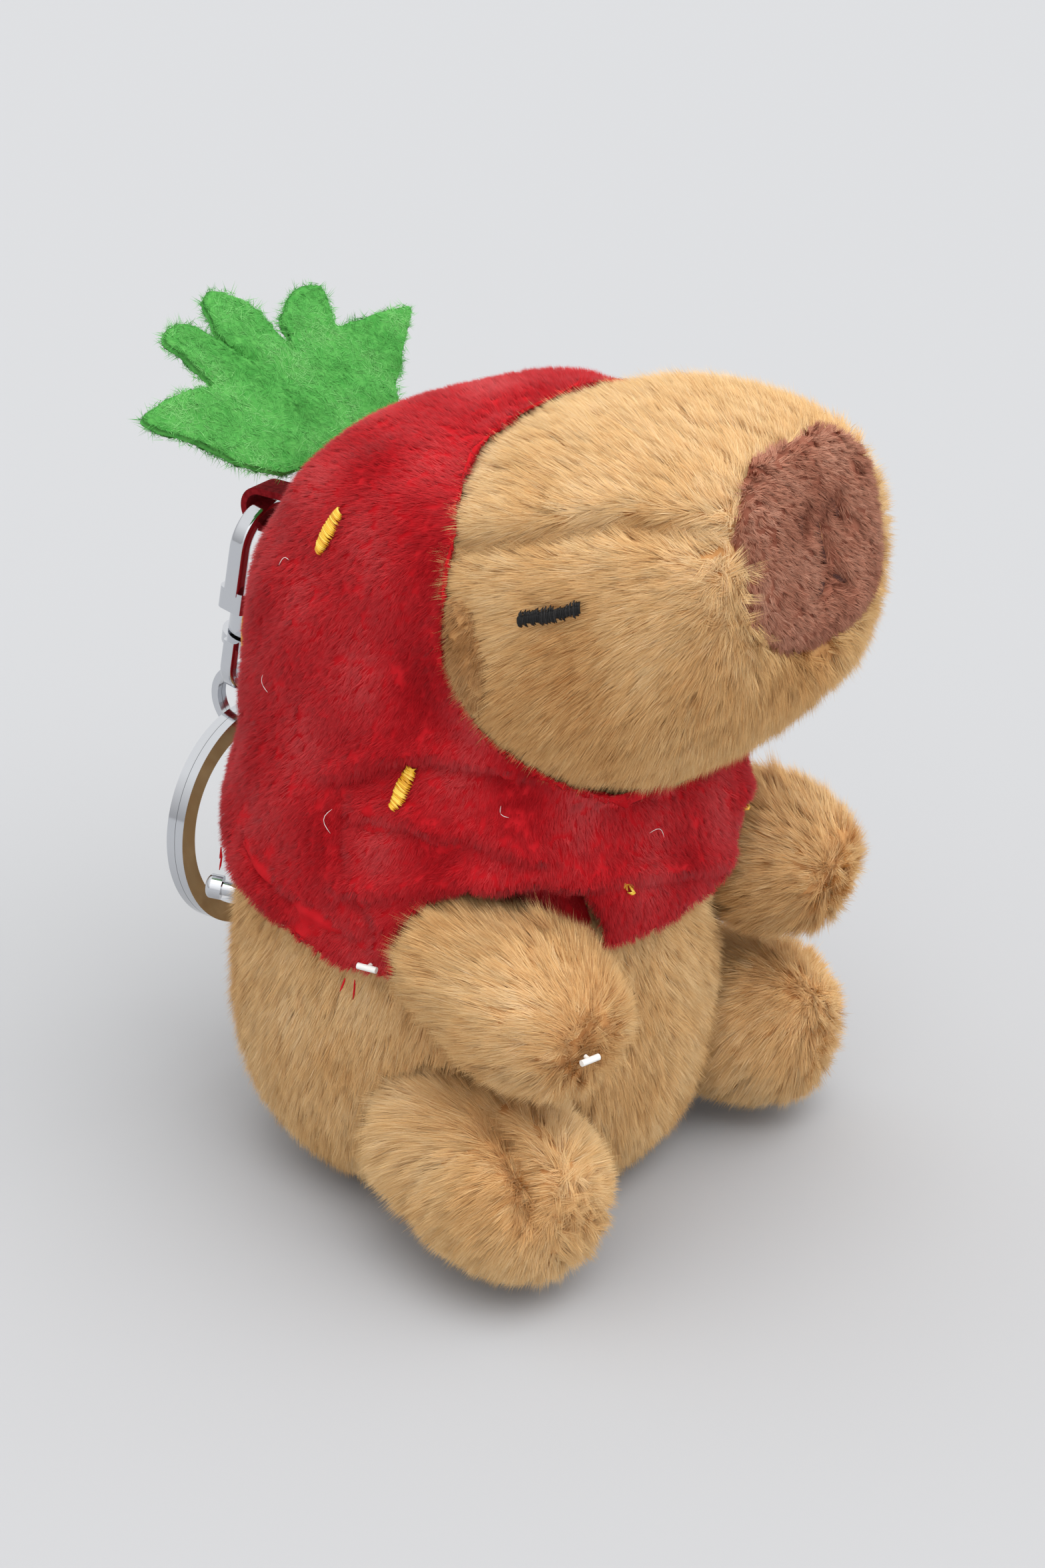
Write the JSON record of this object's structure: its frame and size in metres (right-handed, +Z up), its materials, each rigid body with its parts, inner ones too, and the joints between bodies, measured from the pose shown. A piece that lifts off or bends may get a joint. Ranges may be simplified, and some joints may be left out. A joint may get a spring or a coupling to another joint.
{
  "type": "plush keychain",
  "caption": "Stuffed plush animal in a hooded strawberry cape with felt leaf, hung from a fabric loop on a snap clasp with swivel shackle, link ring and split key ring.",
  "frame": {"origin": "middle of the flat base that the plush sits on", "axes": "+Z up; the animal faces -Y and its own left side is +X"},
  "size_m": [0.0768, 0.0964, 0.1083],
  "materials": {
    "tan_plush": "long tan plush pile",
    "nose_plush": "short brown plush pile",
    "red_plush": "short red plush pile",
    "green_felt": "pressed wool felt",
    "dark_thread": "satin stitched embroidery thread",
    "yellow_thread": "satin stitched embroidery thread",
    "red_tape": "woven tape",
    "polyester_fill": "loose polyester fibre",
    "chrome": "polished plated metal",
    "spring_steel": "bare spring wire",
    "clear_nylon": "translucent white nylon"
  },
  "bodies": {
    "plush": {"head_cover": "tan_plush", "head_filling": "polyester_fill", "nose_patch": "nose_plush", "nose_stitching": "dark_thread", "eye_stitch_right": "dark_thread", "eye_stitch_left": "dark_thread", "ear_right": "nose_plush", "ear_left": "nose_plush", "body_cover": "tan_plush", "body_filling": "polyester_fill", "hood": "red_plush", "cape": "red_plush", "seed_stitches": "yellow_thread", "hang_loop": "red_tape", "tag_pin_hem": "clear_nylon", "back_stud": "chrome"},
    "leaf": {"leaf": "green_felt"},
    "arm_right": {"arm_right_cover": "tan_plush", "arm_right_filling": "polyester_fill", "tag_pin_arm": "clear_nylon"},
    "arm_left": {"arm_left_cover": "tan_plush", "arm_left_filling": "polyester_fill"},
    "leg_right": {"leg_right_cover": "tan_plush", "leg_right_filling": "polyester_fill"},
    "leg_left": {"leg_left_cover": "tan_plush", "leg_left_filling": "polyester_fill"},
    "clasp": {"clasp_frame": "chrome", "gate_pin": "chrome", "gate_spring": "spring_steel"},
    "gate": {"clasp_gate": "chrome"},
    "shackle": {"swivel_shackle": "chrome", "swivel_rivet": "chrome"},
    "link": {"link_ring": "chrome"},
    "ring": {"split_ring": "chrome"}
  },
  "joints": [
    {"name": "arm_right_lift", "type": "hinge", "parent": "plush", "child": "arm_right", "pos_m": [-0.0245, -0.0175, 0.041], "axis": [-0.9895, 0.1443, 0], "range_deg": [0, 20], "stiffness_Nm_per_rad": 0.03},
    {"name": "arm_left_lift", "type": "hinge", "parent": "plush", "child": "arm_left", "pos_m": [0.0245, -0.0175, 0.041], "axis": [-0.9895, -0.1443, 0], "range_deg": [0, 20], "stiffness_Nm_per_rad": 0.03},
    {"name": "leg_right_splay", "type": "hinge", "parent": "plush", "child": "leg_right", "pos_m": [-0.0245, -0.0135, 0.0154], "axis": [0, 0, -1], "range_deg": [0, 12], "stiffness_Nm_per_rad": 0.03},
    {"name": "leg_left_splay", "type": "hinge", "parent": "plush", "child": "leg_left", "pos_m": [0.0245, -0.0135, 0.0154], "axis": [0, 0, 1], "range_deg": [0, 12], "stiffness_Nm_per_rad": 0.03},
    {"name": "leaf_flex", "type": "hinge", "parent": "plush", "child": "leaf", "pos_m": [0, 0.0224, 0.0916], "axis": [1, 0, 0], "range_deg": [-8, 8], "stiffness_Nm_per_rad": 0.02},
    {"name": "hook_swing", "type": "hinge", "parent": "plush", "child": "clasp", "pos_m": [0, 0.0332, 0.0806], "axis": [1, 0, 0], "range_deg": [0, 80]},
    {"name": "gate_hinge", "type": "hinge", "parent": "clasp", "child": "gate", "pos_m": [0.0035, 0.03547, 0.06892], "axis": [0, -0.9816, -0.1908], "range_deg": [0, 25], "stiffness_Nm_per_rad": 0.02},
    {"name": "swivel_turn", "type": "hinge", "parent": "clasp", "child": "shackle", "pos_m": [0, 0.03667, 0.06273], "axis": [0, -0.1908, 0.9816], "range_deg": [-12, 12]},
    {"name": "link_swing", "type": "hinge", "parent": "shackle", "child": "link", "pos_m": [0, 0.03816, 0.05508], "axis": [1, 0, 0], "range_deg": [-3, 60]},
    {"name": "ring_swing", "type": "hinge", "parent": "link", "child": "ring", "pos_m": [0, 0.03816, 0.0478], "axis": [0, 1, 0], "range_deg": [-35, 35]}
  ]
}
